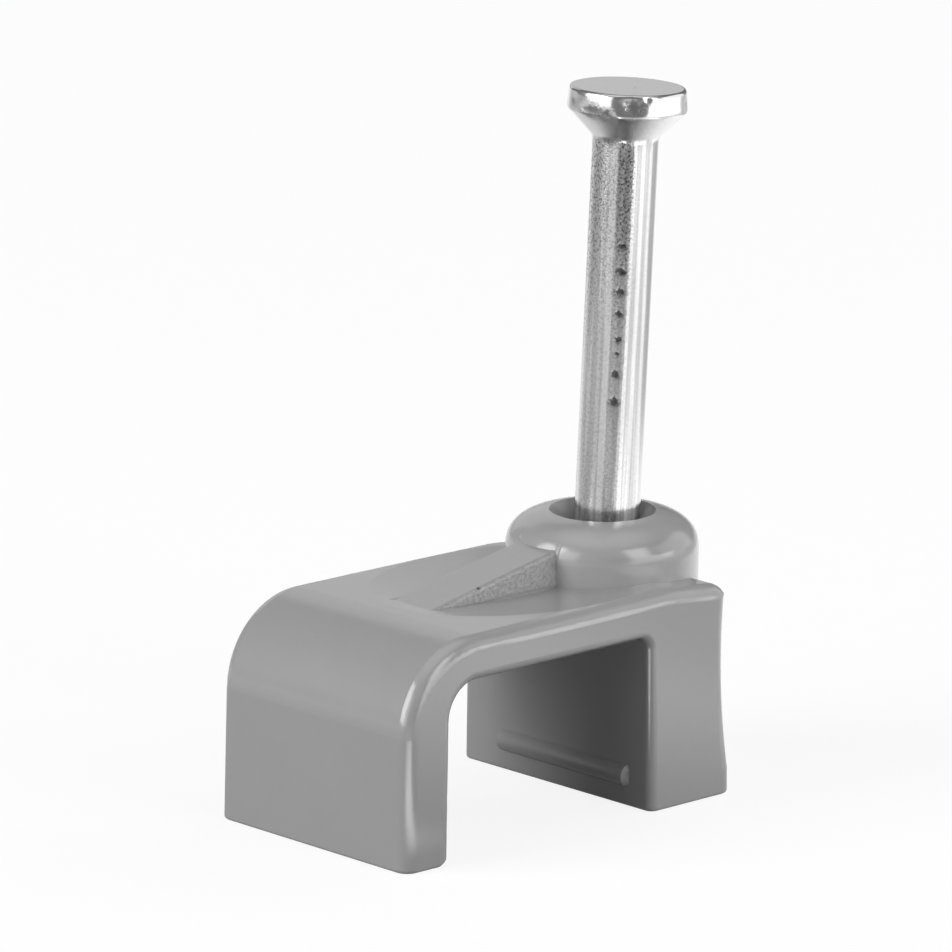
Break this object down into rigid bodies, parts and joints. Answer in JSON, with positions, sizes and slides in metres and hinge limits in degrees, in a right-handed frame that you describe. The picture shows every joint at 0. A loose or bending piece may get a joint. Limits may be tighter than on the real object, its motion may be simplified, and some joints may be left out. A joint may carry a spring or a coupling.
{
  "type": "nail-in cable clip",
  "caption": "Moulded plastic arch that holds a flat cable against a wall, with a ribbed boss and a steel nail standing in it, ready to be driven.",
  "frame": {"origin": "axis of the nail hole, at the wall plane that the feet stand on", "axes": "+Z out of the wall, +Y along the cable, +X from the hook leg to the nail leg"},
  "size_m": [0.0148, 0.0082, 0.0213],
  "materials": {
    "clip_plastic": "satin grey moulded plastic",
    "nail_steel": "bright zinc plate over drawn steel wire"
  },
  "bodies": {
    "root": {"clip_body": "clip_plastic", "nail": "nail_steel"}
  },
  "joints": []
}
